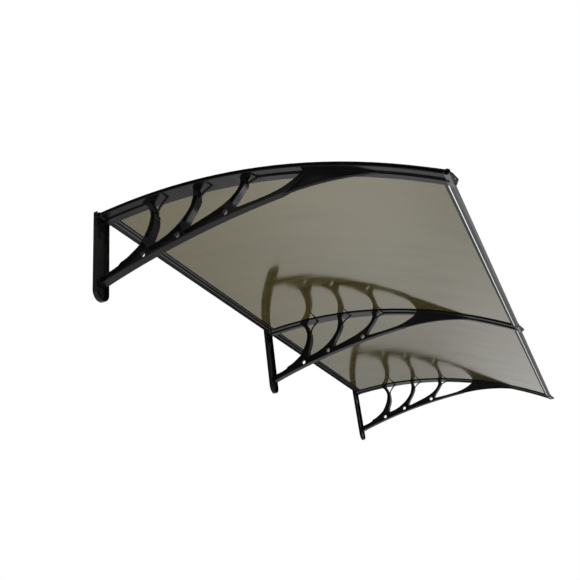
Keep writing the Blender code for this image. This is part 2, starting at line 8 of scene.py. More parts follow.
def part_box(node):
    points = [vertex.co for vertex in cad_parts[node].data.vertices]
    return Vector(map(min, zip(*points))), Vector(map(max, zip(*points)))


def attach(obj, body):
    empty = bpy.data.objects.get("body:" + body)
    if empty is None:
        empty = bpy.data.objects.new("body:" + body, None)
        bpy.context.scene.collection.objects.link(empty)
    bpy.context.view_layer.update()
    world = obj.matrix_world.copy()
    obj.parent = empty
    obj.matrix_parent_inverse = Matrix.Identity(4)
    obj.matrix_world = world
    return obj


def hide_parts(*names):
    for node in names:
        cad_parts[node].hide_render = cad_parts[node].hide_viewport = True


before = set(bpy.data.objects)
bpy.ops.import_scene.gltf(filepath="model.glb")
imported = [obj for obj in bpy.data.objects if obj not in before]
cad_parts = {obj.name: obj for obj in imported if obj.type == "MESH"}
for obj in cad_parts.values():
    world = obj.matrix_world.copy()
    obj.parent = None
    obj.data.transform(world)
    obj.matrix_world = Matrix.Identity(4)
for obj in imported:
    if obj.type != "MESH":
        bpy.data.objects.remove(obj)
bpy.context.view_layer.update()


# Brackets: three like mouldings of black polypropylene, injection moulded in one piece each and
# bolted to the wall. The tool leaves a fine, even grain, a little duller where hands and cartons
# have rubbed it. The round of each front crossbar is painted a lighter grey, like the rails beside
# it: a painted sheen for the light that its black plastic catches from below.

SCRATCH_SLANT = (0.5, 0.35, 0.8)
SCRATCH_STRETCH = (1.0, 14.0, 14.0)
SCRATCH_SINK = -0.6
PLASTIC_BLACK = (0.0068, 0.0068, 0.0071)
PLASTIC_RUBBED = (0.0130, 0.0130, 0.0135)
PLASTIC_GLOSS = 0.10
PLASTIC_GRAIN_DEPTH = 0.00004
# The crossbar's lighter grey is a painted sheen, for light caught by its black round
CROSSBAR_SHEEN = (0.115, 0.116, 0.118)
CROSSBAR_SHEEN_RUBBED = (0.150, 0.151, 0.153)
CROSSBAR_RADIUS = 0.0078
CROSSBAR_SKIN = 0.0010
FACES_OUT = 0.7
EDGE_ROUNDING = 0.00060
EDGE_ANGLE = radians(35)
MOULDING_SHADE_ANGLE = radians(40)
MERGE_DISTANCE = 0.000002


def node_in(tree, kind, x, y, **values):
    """A new node, with its settings and the plain values of its inputs."""
    made = tree.nodes.new(kind)
    made.location = (x, y)
    for name, value in values.items():
        if hasattr(made, name):
            setattr(made, name, value)
        else:
            made.inputs[name.replace("_", " ")].default_value = value
    return made


def worked_out(tree, x, y, operation, *values):
    """A Math node; each value is a number or a socket."""
    made = node_in(tree, "ShaderNodeMath", x, y, operation=operation)
    for socket, value in zip(made.inputs, values):
        if isinstance(value, (int, float)):
            socket.default_value = value
        else:
            tree.links.new(value, socket)
    return made.outputs[0]


def two_colours(tree, x, share, first, second):
    """A mix of two colours, each a socket or a plain value; the share is a socket."""
    made = node_in(tree, "ShaderNodeMix", x, 200, data_type="RGBA")
    tree.links.new(share, made.inputs["Factor"])
    for socket, colour in zip((made.inputs[6], made.inputs[7]), (first, second)):
        if isinstance(colour, tuple):
            socket.default_value = (*colour, 1.0)
        else:
            tree.links.new(colour, socket)
    return made.outputs[2]


def new_material(name):
    """A new material, with its node tree and its Principled shader."""
    made = bpy.data.materials.new(name)
    made.use_nodes = True
    return made, made.node_tree, made.node_tree.nodes["Principled BSDF"]


def surface_group(name, inputs):
    """A shader group with named inputs, which gives a colour, a roughness and a height."""
    group = bpy.data.node_groups.new(name, "ShaderNodeTree")
    for label, kind, value in inputs:
        socket = group.interface.new_socket(label, in_out="INPUT", socket_type=f"NodeSocket{kind}")
        socket.default_value = value
    for label, kind in (("Colour", "Color"), ("Roughness", "Float"), ("Height", "Float")):
        group.interface.new_socket(label, in_out="OUTPUT", socket_type=f"NodeSocket{kind}")
    return group, node_in(group, "NodeGroupInput", -900, 0), node_in(group, "NodeGroupOutput", 300, 0)


def worn_grain_group():
    """Two colours mixed in soft patches, with fine grain and faint scratches."""
    group, entry, leave = surface_group("worn_grain", (
        ("Colour", "Color", (0.5, 0.5, 0.5, 1.0)), ("Rubbed Colour", "Color", (0.6, 0.6, 0.6, 1.0)),
        ("Patch Scale", "Float", 9.0), ("Grain Scale", "Float", 1600.0),
        ("Scratch Scale", "Float", 60.0), ("Roughness", "Float", 0.4),
        ("Roughness Spread", "Float", 0.1)))
    links = group.links
    place = node_in(group, "ShaderNodeTexCoord", -900, -300)
    patches = node_in(group, "ShaderNodeTexNoise", -600, 200, Detail=3.0, Roughness=0.6)
    links.new(place.outputs["Object"], patches.inputs["Vector"])
    links.new(entry.outputs["Patch Scale"], patches.inputs["Scale"])
    grain = node_in(group, "ShaderNodeTexNoise", -600, -100, Detail=1.0)
    links.new(place.outputs["Object"], grain.inputs["Vector"])
    links.new(entry.outputs["Grain Scale"], grain.inputs["Scale"])
    slanted = node_in(group, "ShaderNodeMapping", -760, -400)
    slanted.inputs["Rotation"].default_value = SCRATCH_SLANT
    slanted.inputs["Scale"].default_value = SCRATCH_STRETCH
    links.new(place.outputs["Object"], slanted.inputs["Vector"])
    scratches = node_in(group, "ShaderNodeTexNoise", -600, -400, Detail=2.0, Roughness=0.7)
    links.new(slanted.outputs["Vector"], scratches.inputs["Vector"])
    links.new(entry.outputs["Scratch Scale"], scratches.inputs["Scale"])
    thin = node_in(group, "ShaderNodeMapRange", -420, -400, From_Min=0.66, From_Max=0.74)
    links.new(scratches.outputs["Fac"], thin.inputs["Value"])
    rubbed = node_in(group, "ShaderNodeMapRange", -420, 200, From_Min=0.42, From_Max=0.68)
    links.new(patches.outputs["Fac"], rubbed.inputs["Value"])
    worn = worked_out(group, -240, 60, "MAXIMUM", rubbed.outputs["Result"], thin.outputs["Result"])
    links.new(two_colours(group, -60, worn, entry.outputs["Colour"], entry.outputs["Rubbed Colour"]),
              leave.inputs["Colour"])
    links.new(worked_out(group, -60, -40, "MULTIPLY_ADD", worn, entry.outputs["Roughness Spread"],
                         entry.outputs["Roughness"]), leave.inputs["Roughness"])
    links.new(worked_out(group, -60, -240, "MULTIPLY_ADD", thin.outputs["Result"], SCRATCH_SINK,
                         grain.outputs["Fac"]), leave.inputs["Height"])
    return group


worn_grain = worn_grain_group()


def grained_material(name, colour, rubbed, roughness, spread, depth, metallic=0.0):
    """A material whose colour, roughness and relief come from the worn grain."""
    made, tree, shader = new_material(name)
    grain = node_in(tree, "ShaderNodeGroup", -500, 0, node_tree=worn_grain)
    grain.inputs["Colour"].default_value = (*colour, 1.0)
    grain.inputs["Rubbed Colour"].default_value = (*rubbed, 1.0)
    grain.inputs["Roughness"].default_value = roughness
    grain.inputs["Roughness Spread"].default_value = spread
    bump = node_in(tree, "ShaderNodeBump", -250, -250, Strength=1.0, Distance=depth)
    tree.links.new(grain.outputs["Height"], bump.inputs["Height"])
    tree.links.new(bump.outputs["Normal"], shader.inputs["Normal"])
    tree.links.new(grain.outputs["Colour"], shader.inputs["Base Color"])
    tree.links.new(grain.outputs["Roughness"], shader.inputs["Roughness"])
    shader.inputs["Metallic"].default_value = metallic
    return made, shader


moulded_black, shader = grained_material("moulded_black", PLASTIC_BLACK, PLASTIC_RUBBED,
                                         roughness=0.16, spread=0.12, depth=PLASTIC_GRAIN_DEPTH)
shader.inputs["Specular IOR Level"].default_value = PLASTIC_GLOSS
crossbar_painted_sheen = grained_material("crossbar_painted_sheen", CROSSBAR_SHEEN, CROSSBAR_SHEEN_RUBBED,
                                 roughness=0.34, spread=0.12, depth=PLASTIC_GRAIN_DEPTH)[0]


def shade_smoothly(mesh, angle=EDGE_ANGLE):
    """Smooth faces all over, with the edges beyond an angle kept sharp."""
    mesh.polygons.foreach_set("use_smooth", [True] * len(mesh.polygons))
    mesh.set_sharp_from_angle(angle=angle)


def evaluated_mesh(obj, name):
    """The object's evaluated mesh, with its modifiers applied and removed."""
    graph = bpy.context.evaluated_depsgraph_get()
    mesh = bpy.data.meshes.new_from_object(obj.evaluated_get(graph))
    mesh.name = name
    obj.modifiers.clear()
    return mesh


def merge_doubles(source, target, turn_out=False):
    """Writes the source to the target with its doubles merged; turn_out faces it outwards."""
    work = bmesh.new()
    work.from_mesh(source)
    bmesh.ops.remove_doubles(work, verts=work.verts, dist=MERGE_DISTANCE)
    if turn_out:
        bmesh.ops.recalc_face_normals(work, faces=work.faces)
    work.to_mesh(target)
    work.free()


def new_piece(name, mesh, *looks):
    """An object at the origin that holds the mesh, with new materials if any are given."""
    piece = bpy.data.objects.new(name, mesh)
    bpy.context.scene.collection.objects.link(piece)
    if looks:
        mesh.materials.clear()
        for look in looks:
            mesh.materials.append(look)
    return piece


def mark_crossbar_sheen(mesh):
    """Gives the second material, a painted sheen, to the round outside of the front crossbar."""
    low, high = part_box("front_screw_left")
    axis = Vector((0.0, (low[1] + high[1]) / 2, (low[2] + high[2]) / 2))
    for face in mesh.polygons:
        out = face.center - axis
        out.x = 0.0
        on_skin = abs(out.length - CROSSBAR_RADIUS) < CROSSBAR_SKIN
        if on_skin and out.normalized() @ face.normal > FACES_OUT:
            face.material_index = 1


def rounded_moulding(node):
    """A merged copy of the bracket's solid, with the small radii that the tool has on its edges."""
    mesh = bpy.data.meshes.new(node)
    merge_doubles(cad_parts[node].data, mesh)
    piece = new_piece(f"{node}_moulding", mesh, moulded_black, crossbar_painted_sheen)
    rounding = piece.modifiers.new("rounding", "BEVEL")
    rounding.width = EDGE_ROUNDING
    rounding.segments = 2
    rounding.limit_method = "ANGLE"
    rounding.angle_limit = EDGE_ANGLE
    rounding.use_clamp_overlap = False
    rounding.miter_outer = "MITER_ARC"
    piece.data = evaluated_mesh(piece, node)
    shade_smoothly(piece.data, MOULDING_SHADE_ANGLE)
    # The crossbar's round gets the lighter grey of a painted sheen
    mark_crossbar_sheen(piece.data)
    flats = piece.modifiers.new("flats", "WEIGHTED_NORMAL")
    flats.keep_sharp = True
    piece.data = evaluated_mesh(piece, node)
    return piece


for where in ("left", "middle", "right"):
    node = f"bracket_{where}"
    piece = rounded_moulding(node)
    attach(piece, "root")
    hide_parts(node)


# Edge rails: two lengths of aluminium along the front and two along the wall, each extruded in
# one section with a tube for the screws and two lips that grip the sheet. The front ones are
# anodised dark grey, with a painted highlight as a bright line beside the tube and painted shade
# on the lip, and the wall ones black, with painted highlights on their beads.

SHEET_INSET = 0.0055
BRACKET_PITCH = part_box("sheet_right")[1][0] + SHEET_INSET
RAIL_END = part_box("front_rail_right")[0][0]
RAIL_RADIUS = 0.0062
BORE_RADIUS = 0.0021
SHOULDER = (0.0078, 0.0050)
SHOULDER_SLOPE = 0.0009
SEAM = 0.0054
SLOT_HALF = 0.0023
SLOT_START = 0.0040
SLOT_CHAMFER = (0.0006, 0.0005)
LIP_THICKNESS = 0.0016
LIP_OUTER = SLOT_HALF + LIP_THICKNESS
LIP_CHAMFER = 0.0005
TUBE_STEPS = 20
BORE_STEPS = 20
RAIL_SHADE_ANGLE = radians(30)
STRIP_DEPTH = 0.0001
FACES_END = 0.5
ANODISED_ROUGHNESS = 0.34
CLOUDED_ROUGHNESS = 0.16
DIE_LINE_STRETCH = (0.004, 1.0, 1.0)
DIE_LINE_DEPTH = 0.00003
RUBBED_LINE_DEPTH = 0.00001
ARC_CREST = (0.090, 0.254)
ORIGIN_HEIGHT = 0.131
ARC_RADIUS = 1.524
ARC_CENTRE = (ARC_CREST[0], ARC_CREST[1] - ORIGIN_HEIGHT - ARC_RADIUS)
SHEET_RADIUS = 1.5188
FRONT_BAR_REACH = 0.9200
REAR_BAR_REACH = 0.0180
FRONT_LIP = 0.0175
WALL_LIP = 0.0280

# Each bead has its middle, width and height, and each strip its first and last distance, all
# measured from the tube's axis along the lip
FRONT_BEADS = [(0.0102, 0.0012, 0.0003)]
WALL_BEADS = [(0.0240, 0.0018, 0.0004), (0.0115, 0.0022, 0.0004)]
BEAD_MARGIN = 0.0003
# Front strips: a painted highlight on the shoulder, then painted shade on the lip; wall strips:
# painted highlights on the beads
FRONT_STRIPS = [(SEAM, SHOULDER[0]), (SHOULDER[0], FRONT_LIP)]
WALL_STRIPS = [(middle - wide / 2 - BEAD_MARGIN, middle + wide / 2 + BEAD_MARGIN)
               for middle, wide, high in WALL_BEADS]


def on_sheet(angle, radius=SHEET_RADIUS):
    """World Y and Z of a point on the sheets' arc, by its angle from the crest."""
    return -(ARC_CENTRE[0] + radius * sin(angle)), ARC_CENTRE[1] + radius * cos(angle)


def sheet_angle(reach):
    """Angle from the crest at which the sheets' arc has a reach from the wall."""
    return atan2(reach - ARC_CENTRE[0], sqrt(SHEET_RADIUS**2 - (reach - ARC_CENTRE[0]) ** 2))


def rail_outline(lip, beads):
    """Section of the rail: half of it from the slot over the lip and round the tube, mirrored."""
    half = [(SLOT_START, SLOT_HALF), (lip - SLOT_CHAMFER[0], SLOT_HALF),
            (lip, SLOT_HALF + SLOT_CHAMFER[1]), (lip, LIP_OUTER - LIP_CHAMFER),
            (lip - LIP_CHAMFER, LIP_OUTER)]
    for middle, wide, high in beads:
        half += [(middle + wide / 2, LIP_OUTER), (middle + wide / 4, LIP_OUTER + high),
                 (middle - wide / 4, LIP_OUTER + high), (middle - wide / 2, LIP_OUTER)]
    half += [(SHOULDER[0] + SHOULDER_SLOPE, LIP_OUTER), SHOULDER, (SEAM, SHOULDER[1])]
    start = atan2(SHOULDER[1], sqrt(RAIL_RADIUS**2 - SHOULDER[1] ** 2))
    for i in range(TUBE_STEPS + 1):
        turn = start + (pi - start) * i / TUBE_STEPS
        half.append((RAIL_RADIUS * cos(turn), RAIL_RADIUS * sin(turn)))
    return half + [(along, -across) for along, across in reversed(half[:-1])]


def closed_line(curve, points):
    """Adds a closed line with straight sides to a flat curve."""
    line = curve.splines.new("POLY")
    line.points.add(len(points) - 1)
    for point, (x, y) in zip(line.points, points):
        point.co = (x, y, 0.0, 1.0)
    line.use_cyclic_u = True


def extruded(name, outlines, half_length):
    """Outlines in X and Y, the later ones as holes, drawn out both ways along Z."""
    curve = bpy.data.curves.new(name, "CURVE")
    curve.dimensions = "2D"
    curve.fill_mode = "BOTH"
    curve.extrude = half_length
    for outline in outlines:
        closed_line(curve, outline)
    drawn = bpy.data.objects.new(name, curve)
    bpy.context.scene.collection.objects.link(drawn)
    mesh = evaluated_mesh(drawn, name)
    bpy.data.objects.remove(drawn, do_unlink=True)
    return mesh


def mark_strips(mesh, strips):
    """Gives a later material to the outer faces of the lips and the shoulder, in each strip: these
    are the rails' painted highlights and painted shade.
    """
    for face in mesh.polygons:
        inside = abs(face.center.y) < LIP_OUTER - STRIP_DEPTH
        if inside or abs(face.normal.z) > FACES_END:
            continue
        for i, (first, last) in enumerate(strips):
            if first < face.center.x < last:
                face.material_index = i + 1


def edge_rail(name, bar_reach, lip, beads, strips, direction, side, *looks):
    """One length of rail between two brackets, with its slot along the sheet's chord."""
    turns = [tau * i / BORE_STEPS for i in range(BORE_STEPS)]
    bore = [(BORE_RADIUS * cos(turn), BORE_RADIUS * sin(turn)) for turn in turns]
    half_length = (BRACKET_PITCH - 2 * RAIL_END) / 2
    mesh = extruded(name, [rail_outline(lip, beads), bore], half_length)
    for look in looks:
        mesh.materials.append(look)
    mark_strips(mesh, strips)
    angle = sheet_angle(bar_reach)
    centre = on_sheet(angle)
    angle += direction * lip / 2 / SHEET_RADIUS
    along = Vector((0.0, -direction * cos(angle), -direction * sin(angle)))
    across = Vector((0.0, -sin(angle), cos(angle)))
    out = along.cross(across)
    middle = Vector((side * BRACKET_PITCH / 2, *centre))
    mesh.transform(Matrix.Translation(middle) @ Matrix((along, across, out)).transposed().to_4x4())
    mesh.validate()
    merge_doubles(mesh, mesh, turn_out=True)
    shade_smoothly(mesh, RAIL_SHADE_ANGLE)
    piece = new_piece(f"{name}_section", mesh)
    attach(piece, "root")
    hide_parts(name)


def die_line_group():
    """Fine lines along X, as a die leaves them on an extruded length."""
    group, entry, leave = surface_group("die_lines", (
        ("Colour", "Color", (0.1, 0.1, 0.1, 1.0)), ("Line Colour", "Color", (0.2, 0.2, 0.2, 1.0)),
        ("Line Scale", "Float", 900.0), ("Roughness", "Float", 0.35)))
    links = group.links
    place = node_in(group, "ShaderNodeTexCoord", -900, -300)
    drawn = node_in(group, "ShaderNodeMapping", -700, -300)
    drawn.inputs["Scale"].default_value = DIE_LINE_STRETCH
    links.new(place.outputs["Object"], drawn.inputs["Vector"])
    lines = node_in(group, "ShaderNodeTexNoise", -500, -300, Detail=2.0, Roughness=0.65)
    links.new(drawn.outputs["Vector"], lines.inputs["Vector"])
    links.new(entry.outputs["Line Scale"], lines.inputs["Scale"])
    deep = node_in(group, "ShaderNodeMapRange", -300, -300, From_Min=0.40, From_Max=0.66)
    links.new(lines.outputs["Fac"], deep.inputs["Value"])
    cloud = node_in(group, "ShaderNodeTexNoise", -500, 100, Scale=14.0, Detail=3.0)
    links.new(place.outputs["Object"], cloud.inputs["Vector"])
    uneven = worked_out(group, -200, 50, "MULTIPLY_ADD", cloud.outputs["Fac"], CLOUDED_ROUGHNESS,
                        entry.outputs["Roughness"])
    links.new(two_colours(group, 0, deep.outputs["Result"], entry.outputs["Colour"],
                          entry.outputs["Line Colour"]), leave.inputs["Colour"])
    links.new(uneven, leave.inputs["Roughness"])
    links.new(deep.outputs["Result"], leave.inputs["Height"])
    return group


die_lines = die_line_group()


def drawn_metal(name, colour, line_colour, roughness, depth, edge=1.0):
    """Anodised aluminium whose colour, roughness and relief follow the die lines."""
    made, tree, shader = new_material(name)
    lines = node_in(tree, "ShaderNodeGroup", -500, 0, node_tree=die_lines)
    lines.inputs["Colour"].default_value = (*colour, 1.0)
    lines.inputs["Line Colour"].default_value = (*line_colour, 1.0)
    lines.inputs["Roughness"].default_value = roughness
    bump = node_in(tree, "ShaderNodeBump", -250, -250, Distance=depth)
    tree.links.new(lines.outputs["Height"], bump.inputs["Height"])
    tree.links.new(bump.outputs["Normal"], shader.inputs["Normal"])
    tree.links.new(lines.outputs["Colour"], shader.inputs["Base Color"])
    tree.links.new(lines.outputs["Roughness"], shader.inputs["Roughness"])
    shader.inputs["Metallic"].default_value = 1.0
    shader.inputs["Specular Tint"].default_value = (edge, edge, edge, 1.0)
    return made


front_grey = drawn_metal("front_grey_anodised", (0.084, 0.085, 0.086), (0.140, 0.141, 0.142),
                         ANODISED_ROUGHNESS, DIE_LINE_DEPTH, edge=0.6)
# The lip's darker grey is painted shade on the anodised rail
lip_painted_shade = drawn_metal("lip_anodised_painted_shade", (0.038, 0.039, 0.040), (0.066, 0.067, 0.068),
                       ANODISED_ROUGHNESS, DIE_LINE_DEPTH, edge=0.6)
wall_black = drawn_metal("wall_black_anodised", (0.016, 0.016, 0.016), (0.034, 0.034, 0.034),
                         ANODISED_ROUGHNESS, DIE_LINE_DEPTH, edge=0.35)
# The bright line is a painted highlight, a near-white strip beside the tube
painted_highlight_line = drawn_metal("painted_highlight_line", (0.86, 0.86, 0.86), (0.95, 0.95, 0.95),
                          roughness=0.16, depth=RUBBED_LINE_DEPTH)
# The wall beads' lighter grey is a painted highlight on the black rail
wall_bead_painted_highlight = drawn_metal("wall_bead_painted_highlight", (0.10, 0.10, 0.10), (0.15, 0.15, 0.15),
                        roughness=0.30, depth=RUBBED_LINE_DEPTH, edge=0.5)

for where, side in (("left", -1), ("right", 1)):
    edge_rail(f"front_rail_{where}", FRONT_BAR_REACH, FRONT_LIP, FRONT_BEADS, FRONT_STRIPS,
              -1, side, front_grey, painted_highlight_line, lip_painted_shade)
    edge_rail(f"wall_rail_{where}", REAR_BAR_REACH, WALL_LIP, WALL_BEADS, WALL_STRIPS,
              1, side, wall_black, wall_bead_painted_highlight, wall_bead_painted_highlight)


# Sheets: two see-through plates of bronze-tinted polycarbonate, 4 mm thick, extruded flat and
# bent cold into the arcs' grooves. They keep a slight wave from the bend, and the right-hand
# one is a little hazier.

SHEET_THICKNESS = 0.004
SHEET_SLOT = 0.0084
ARC_STATIONS = 160
WIDTH_STATIONS = 9
DEEP_TINT = (0.046, 0.037, 0.012)
LIGHT_TINT = (0.064, 0.052, 0.017)
CLOUD_SHARE = 0.6
STREAK_SHARE = 0.7
WARM_REFLECTION = (1.0, 0.93, 0.66)
POLYCARBONATE_IOR = 1.58
CLEAR_ROUGHNESS = 0.055
HAZY_ROUGHNESS = 0.105
RIGHT_HAND_HAZE = 0.025
WAVE_STRETCH = (1.6, 0.7, 0.7)
WAVE_DEPTH = 0.0006
STREAK_STRETCH = (1.0, 0.03, 0.03)
STREAK_DEPTH = 0.000012


def geometry_tree(name, inputs):
    """A Geometry Nodes tree with named inputs; the tree, its entry and its exit."""
    tree = bpy.data.node_groups.new(name, "GeometryNodeTree")
    tree.interface.new_socket("Geometry", in_out="INPUT", socket_type="NodeSocketGeometry")
    for label, kind in inputs:
        tree.interface.new_socket(label, in_out="INPUT", socket_type=f"NodeSocket{kind}")
    tree.interface.new_socket("Geometry", in_out="OUTPUT", socket_type="NodeSocketGeometry")
    return tree, node_in(tree, "NodeGroupInput", -900, 0), node_in(tree, "NodeGroupOutput", 900, 0)


def grown_mesh(name, tree, values, base=None):
    """The plain mesh that a tree makes from a base mesh and the values of its named inputs."""
    holder = bpy.data.objects.new(name, base or bpy.data.meshes.new(name))
    bpy.context.scene.collection.objects.link(holder)
    growth = holder.modifiers.new("growth", "NODES")
    growth.node_group = tree
    for item in tree.interface.items_tree:
        if item.in_out == "INPUT" and item.name in values:
            growth[item.identifier] = values[item.name]
    mesh = evaluated_mesh(holder, name)
    bpy.data.objects.remove(holder, do_unlink=True)
    return mesh


def bent_plate_tree():
    """A flat plate of many stations, bent to an arc about an axis along X."""
    tree, entry, leave = geometry_tree("bent_plate", (
        ("Inner X", "Float"), ("Outer X", "Float"), ("First Angle", "Float"),
        ("Last Angle", "Float"), ("Radius", "Float"), ("Thickness", "Float"),
        ("Centre Y", "Float"), ("Centre Z", "Float"), ("Material", "Material")))
    links = tree.links
    plate = node_in(tree, "GeometryNodeMeshCube", -600, 300)
    plate.inputs["Vertices X"].default_value = WIDTH_STATIONS
    plate.inputs["Vertices Y"].default_value = ARC_STATIONS
    flat = node_in(tree, "ShaderNodeSeparateXYZ", -600, 0)
    links.new(node_in(tree, "GeometryNodeInputPosition", -760, 0).outputs[0], flat.inputs[0])

    def spread(y, value, low, high):
        """Takes a coordinate of the flat plate from its own range to the one given."""
        made = node_in(tree, "ShaderNodeMapRange", -400, y, From_Min=-0.5, From_Max=0.5)
        links.new(value, made.inputs["Value"])
        links.new(entry.outputs[low], made.inputs["To Min"])
        links.new(entry.outputs[high], made.inputs["To Max"])
        return made.outputs["Result"]

    across = spread(200, flat.outputs["X"], "Inner X", "Outer X")
    angle = spread(0, flat.outputs["Y"], "First Angle", "Last Angle")
    radius = worked_out(tree, -400, -300, "MULTIPLY_ADD", flat.outputs["Z"],
                        entry.outputs["Thickness"], entry.outputs["Radius"])
    reach = worked_out(tree, 0, -100, "MULTIPLY_ADD", radius,
                       worked_out(tree, -200, -100, "SINE", angle), entry.outputs["Centre Y"])
    height = worked_out(tree, 0, -300, "MULTIPLY_ADD", radius,
                        worked_out(tree, -200, -300, "COSINE", angle), entry.outputs["Centre Z"])
    bent = node_in(tree, "ShaderNodeCombineXYZ", 200, 0)
    links.new(across, bent.inputs["X"])
    links.new(worked_out(tree, 100, -100, "MULTIPLY", reach, -1.0), bent.inputs["Y"])
    links.new(height, bent.inputs["Z"])
    laid = node_in(tree, "GeometryNodeSetPosition", 400, 200)
    links.new(plate.outputs["Mesh"], laid.inputs["Geometry"])
    links.new(bent.outputs[0], laid.inputs["Position"])
    real = node_in(tree, "GeometryNodeRealizeInstances", 560, 200)
    links.new(laid.outputs["Geometry"], real.inputs["Geometry"])
    look = node_in(tree, "GeometryNodeSetMaterial", 720, 200)
    links.new(real.outputs["Geometry"], look.inputs["Geometry"])
    links.new(entry.outputs["Material"], look.inputs["Material"])
    links.new(look.outputs["Geometry"], leave.inputs["Geometry"])
    return tree


def bronze_polycarbonate():
    """Tinted clear plate: soft waves from the cold bend and fine streaks along the arc."""
    made, tree, shader = new_material("bronze_polycarbonate")
    links = tree.links
    place = node_in(tree, "ShaderNodeTexCoord", -1200, 0)
    waves = node_in(tree, "ShaderNodeTexNoise", -800, -300, Scale=5.5, Detail=1.0)
    stretched = node_in(tree, "ShaderNodeMapping", -1000, -300)
    stretched.inputs["Scale"].default_value = WAVE_STRETCH
    links.new(place.outputs["Object"], stretched.inputs["Vector"])
    links.new(stretched.outputs["Vector"], waves.inputs["Vector"])
    drawn = node_in(tree, "ShaderNodeMapping", -1000, 100)
    drawn.inputs["Scale"].default_value = STREAK_STRETCH
    links.new(place.outputs["Object"], drawn.inputs["Vector"])
    streaks = node_in(tree, "ShaderNodeTexNoise", -800, 100, Scale=55.0, Detail=3.0, Roughness=0.7)
    links.new(drawn.outputs["Vector"], streaks.inputs["Vector"])
    cloudy = node_in(tree, "ShaderNodeTexNoise", -800, 300, Scale=7.0, Detail=3.0)
    links.new(stretched.outputs["Vector"], cloudy.inputs["Vector"])
    mottled = worked_out(tree, -600, 200, "MULTIPLY_ADD", cloudy.outputs["Fac"], CLOUD_SHARE,
                         worked_out(tree, -700, 100, "MULTIPLY", streaks.outputs["Fac"],
                                    STREAK_SHARE))
    spread_out = node_in(tree, "ShaderNodeMapRange", -500, 200, From_Min=0.48, From_Max=0.82)
    links.new(mottled, spread_out.inputs["Value"])
    tint = two_colours(tree, -400, spread_out.outputs["Result"], DEEP_TINT, LIGHT_TINT)
    links.new(tint, shader.inputs["Base Color"])
    haze = node_in(tree, "ShaderNodeMapRange", -400, -100, From_Min=0.3, From_Max=0.7,
                   To_Min=CLEAR_ROUGHNESS, To_Max=HAZY_ROUGHNESS)
    links.new(streaks.outputs["Fac"], haze.inputs["Value"])
    parts = node_in(tree, "ShaderNodeSeparateXYZ", -600, -200)
    links.new(place.outputs["Object"], parts.inputs[0])
    right_hand = node_in(tree, "ShaderNodeMapRange", -400, -200, From_Min=-0.1, From_Max=0.1,
                         To_Max=RIGHT_HAND_HAZE)
    links.new(parts.outputs["X"], right_hand.inputs["Value"])
    hazier = worked_out(tree, -200, -100, "ADD", haze.outputs["Result"],
                        right_hand.outputs["Result"])
    links.new(hazier, shader.inputs["Roughness"])
    wave = node_in(tree, "ShaderNodeBump", -400, -400, Distance=WAVE_DEPTH)
    links.new(waves.outputs["Fac"], wave.inputs["Height"])
    fine = node_in(tree, "ShaderNodeBump", -200, -400, Distance=STREAK_DEPTH)
    links.new(streaks.outputs["Fac"], fine.inputs["Height"])
    links.new(wave.outputs["Normal"], fine.inputs["Normal"])
    links.new(fine.outputs["Normal"], shader.inputs["Normal"])
    shader.inputs["Transmission Weight"].default_value = 1.0
    shader.inputs["IOR"].default_value = POLYCARBONATE_IOR
    shader.inputs["Specular Tint"].default_value = (*WARM_REFLECTION, 1.0)
    return made


bronze = bronze_polycarbonate()
bent_plate = bent_plate_tree()
for where, side in (("left", -1), ("right", 1)):
    name = f"sheet_{where}"
    low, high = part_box(name)
    mesh = grown_mesh(name, bent_plate, {
        "Inner X": low[0], "Outer X": high[0],
        "First Angle": sheet_angle(REAR_BAR_REACH) + SHEET_SLOT / SHEET_RADIUS,
        "Last Angle": sheet_angle(FRONT_BAR_REACH) - SHEET_SLOT / SHEET_RADIUS,
        "Radius": SHEET_RADIUS, "Thickness": SHEET_THICKNESS,
        "Centre Y": ARC_CENTRE[0], "Centre Z": ARC_CENTRE[1], "Material": bronze})
    merge_doubles(mesh, mesh, turn_out=True)
    shade_smoothly(mesh)
    piece = new_piece(f"{name}_plate", mesh)
    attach(piece, "root")
    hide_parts(name)


# Screws: four long ones driven into the ends of the rails and two short ones through the edges
# of the sheets. Each is headed cold from steel wire, with a pressed cross and a rolled thread,
# and then plated with zinc.

SCREW_HEAD_RADIUS = 0.0040
SCREW_HEAD_HEIGHT = 0.0024
SCREW_CORE_RADIUS = 0.00130
THREAD_DEPTH = 0.00042
THREAD_PITCH = 0.0014
SCREW_POINT = 0.0030
LONG_SCREW = 0.060
SHORT_SCREW = 0.0098
SHORT_SCREW_REACH = 0.055
SHORT_SCREW_ASIDE = 0.0135
SHORT_SCREW_SEAT = 1.5243
RING_POINTS = 28
HEAD_STATIONS = 16
CORE_STATIONS = 41
THREAD_POINTS = 14
RIDGE_POINTS = 4
CROSS_BLADE = (0.0042, 0.0008, 0.0022)
HEAD_SIDE = 0.4
DOME_FALL = 1.55
POINT_SHARE = 0.1
ZINC = (0.62, 0.61, 0.57)
ZINC_DULL = (0.50, 0.49, 0.46)
ZINC_GRAIN_DEPTH = 0.00003


